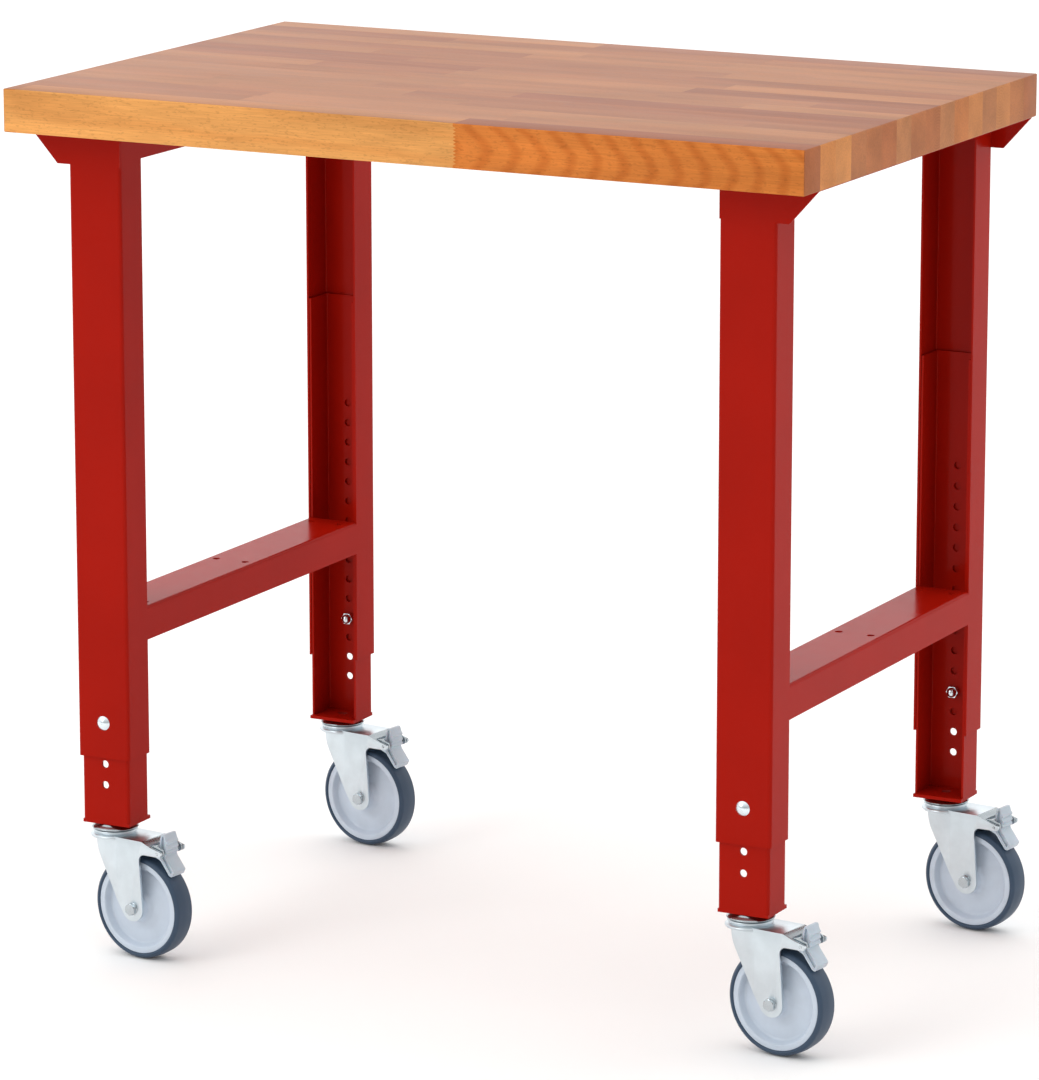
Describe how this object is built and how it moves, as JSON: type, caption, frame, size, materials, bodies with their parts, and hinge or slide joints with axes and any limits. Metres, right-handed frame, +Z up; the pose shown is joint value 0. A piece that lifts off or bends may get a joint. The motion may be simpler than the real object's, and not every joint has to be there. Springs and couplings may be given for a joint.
{
  "type": "work platform bench",
  "caption": "Wheeled work bench with a thick solid wood top on two folded steel side frames, with telescoping height-adjustable legs and braked swivel casters.",
  "frame": {"origin": "on the floor, below the middle of the bench's overall box", "axes": "+X along the bench's length, +Y to its back, +Z up; the casters trail towards +X at rest"},
  "size_m": [1.016, 0.655, 1.027],
  "materials": {
    "beech": "oiled, finger-jointed staves",
    "red_paint": "glossy powder coat",
    "zinc": "bright zinc plate",
    "wheel_plastic": "satin moulded polypropylene",
    "tread_rubber": "satin thermoplastic rubber",
    "pedal_plastic": "satin moulded polyamide"
  },
  "bodies": {
    "root": {"worktop": "beech", "top_bearer_left": "red_paint", "top_bearer_right": "red_paint", "cross_rail_left": "red_paint", "cross_rail_right": "red_paint", "worktop_screws": "zinc", "height_bolts": "zinc", "cap_nuts": "zinc", "outer_leg_front_left": "red_paint", "outer_leg_front_right": "red_paint", "outer_leg_back_left": "red_paint", "outer_leg_back_right": "red_paint"},
    "leg_front_left": {"inner_leg_front_left": "red_paint", "foot_plate_front_left": "red_paint", "caster_bolt_front_left": "zinc", "swivel_race_front_left": "zinc"},
    "caster_front_left": {"fork_front_left": "zinc", "axle_bolt_front_left": "zinc", "axle_nut_front_left": "zinc", "axle_sleeve_front_left": "zinc", "brake_carrier_front_left": "zinc"},
    "wheel_front_left": {"wheel_core_front_left": "wheel_plastic", "tread_front_left": "tread_rubber"},
    "pedal_front_left": {"brake_pedal_front_left": "pedal_plastic"},
    "leg_front_right": {"inner_leg_front_right": "red_paint", "foot_plate_front_right": "red_paint", "caster_bolt_front_right": "zinc", "swivel_race_front_right": "zinc"},
    "caster_front_right": {"fork_front_right": "zinc", "axle_bolt_front_right": "zinc", "axle_nut_front_right": "zinc", "axle_sleeve_front_right": "zinc", "brake_carrier_front_right": "zinc"},
    "wheel_front_right": {"wheel_core_front_right": "wheel_plastic", "tread_front_right": "tread_rubber"},
    "pedal_front_right": {"brake_pedal_front_right": "pedal_plastic"},
    "leg_back_left": {"inner_leg_back_left": "red_paint", "foot_plate_back_left": "red_paint", "caster_bolt_back_left": "zinc", "swivel_race_back_left": "zinc"},
    "caster_back_left": {"fork_back_left": "zinc", "axle_bolt_back_left": "zinc", "axle_nut_back_left": "zinc", "axle_sleeve_back_left": "zinc", "brake_carrier_back_left": "zinc"},
    "wheel_back_left": {"wheel_core_back_left": "wheel_plastic", "tread_back_left": "tread_rubber"},
    "pedal_back_left": {"brake_pedal_back_left": "pedal_plastic"},
    "leg_back_right": {"inner_leg_back_right": "red_paint", "foot_plate_back_right": "red_paint", "caster_bolt_back_right": "zinc", "swivel_race_back_right": "zinc"},
    "caster_back_right": {"fork_back_right": "zinc", "axle_bolt_back_right": "zinc", "axle_nut_back_right": "zinc", "axle_sleeve_back_right": "zinc", "brake_carrier_back_right": "zinc"},
    "wheel_back_right": {"wheel_core_back_right": "wheel_plastic", "tread_back_right": "tread_rubber"},
    "pedal_back_right": {"brake_pedal_back_right": "pedal_plastic"}
  },
  "joints": [
    {"name": "height_front_left", "type": "slide", "parent": "root", "child": "leg_front_left", "axis": [0, 0, -1], "range_m": [-0.075, 0.275]},
    {"name": "swivel_front_left", "type": "hinge", "parent": "leg_front_left", "child": "caster_front_left", "pos_m": [-0.41901, -0.251, 0.146], "axis": [0, 0, 1], "continuous": true},
    {"name": "roll_front_left", "type": "hinge", "parent": "caster_front_left", "child": "wheel_front_left", "pos_m": [-0.37742, -0.25684, 0.0625], "axis": [0.1392, 0.9903, 0], "continuous": true},
    {"name": "brake_front_left", "type": "hinge", "parent": "caster_front_left", "child": "pedal_front_left", "pos_m": [-0.33979, -0.26213, 0.135], "axis": [0.1392, 0.9903, 0], "range_deg": [0, 6]},
    {"name": "height_front_right", "type": "slide", "parent": "root", "child": "leg_front_right", "axis": [0, 0, -1], "range_m": [-0.075, 0.275]},
    {"name": "swivel_front_right", "type": "hinge", "parent": "leg_front_right", "child": "caster_front_right", "pos_m": [0.40299, -0.251, 0.146], "axis": [0, 0, 1], "continuous": true},
    {"name": "roll_front_right", "type": "hinge", "parent": "caster_front_right", "child": "wheel_front_right", "pos_m": [0.44458, -0.25684, 0.0625], "axis": [0.1392, 0.9903, 0], "continuous": true},
    {"name": "brake_front_right", "type": "hinge", "parent": "caster_front_right", "child": "pedal_front_right", "pos_m": [0.48221, -0.26213, 0.135], "axis": [0.1392, 0.9903, 0], "range_deg": [0, 6]},
    {"name": "height_back_left", "type": "slide", "parent": "root", "child": "leg_back_left", "axis": [0, 0, -1], "range_m": [-0.075, 0.275]},
    {"name": "swivel_back_left", "type": "hinge", "parent": "leg_back_left", "child": "caster_back_left", "pos_m": [-0.41901, 0.301, 0.146], "axis": [0, 0, 1], "continuous": true},
    {"name": "roll_back_left", "type": "hinge", "parent": "caster_back_left", "child": "wheel_back_left", "pos_m": [-0.37742, 0.29516, 0.0625], "axis": [0.1392, 0.9903, 0], "continuous": true},
    {"name": "brake_back_left", "type": "hinge", "parent": "caster_back_left", "child": "pedal_back_left", "pos_m": [-0.33979, 0.28987, 0.135], "axis": [0.1392, 0.9903, 0], "range_deg": [0, 6]},
    {"name": "height_back_right", "type": "slide", "parent": "root", "child": "leg_back_right", "axis": [0, 0, -1], "range_m": [-0.075, 0.275]},
    {"name": "swivel_back_right", "type": "hinge", "parent": "leg_back_right", "child": "caster_back_right", "pos_m": [0.40299, 0.301, 0.146], "axis": [0, 0, 1], "continuous": true},
    {"name": "roll_back_right", "type": "hinge", "parent": "caster_back_right", "child": "wheel_back_right", "pos_m": [0.44458, 0.29516, 0.0625], "axis": [0.1392, 0.9903, 0], "continuous": true},
    {"name": "brake_back_right", "type": "hinge", "parent": "caster_back_right", "child": "pedal_back_right", "pos_m": [0.48221, 0.28987, 0.135], "axis": [0.1392, 0.9903, 0], "range_deg": [0, 6]}
  ]
}
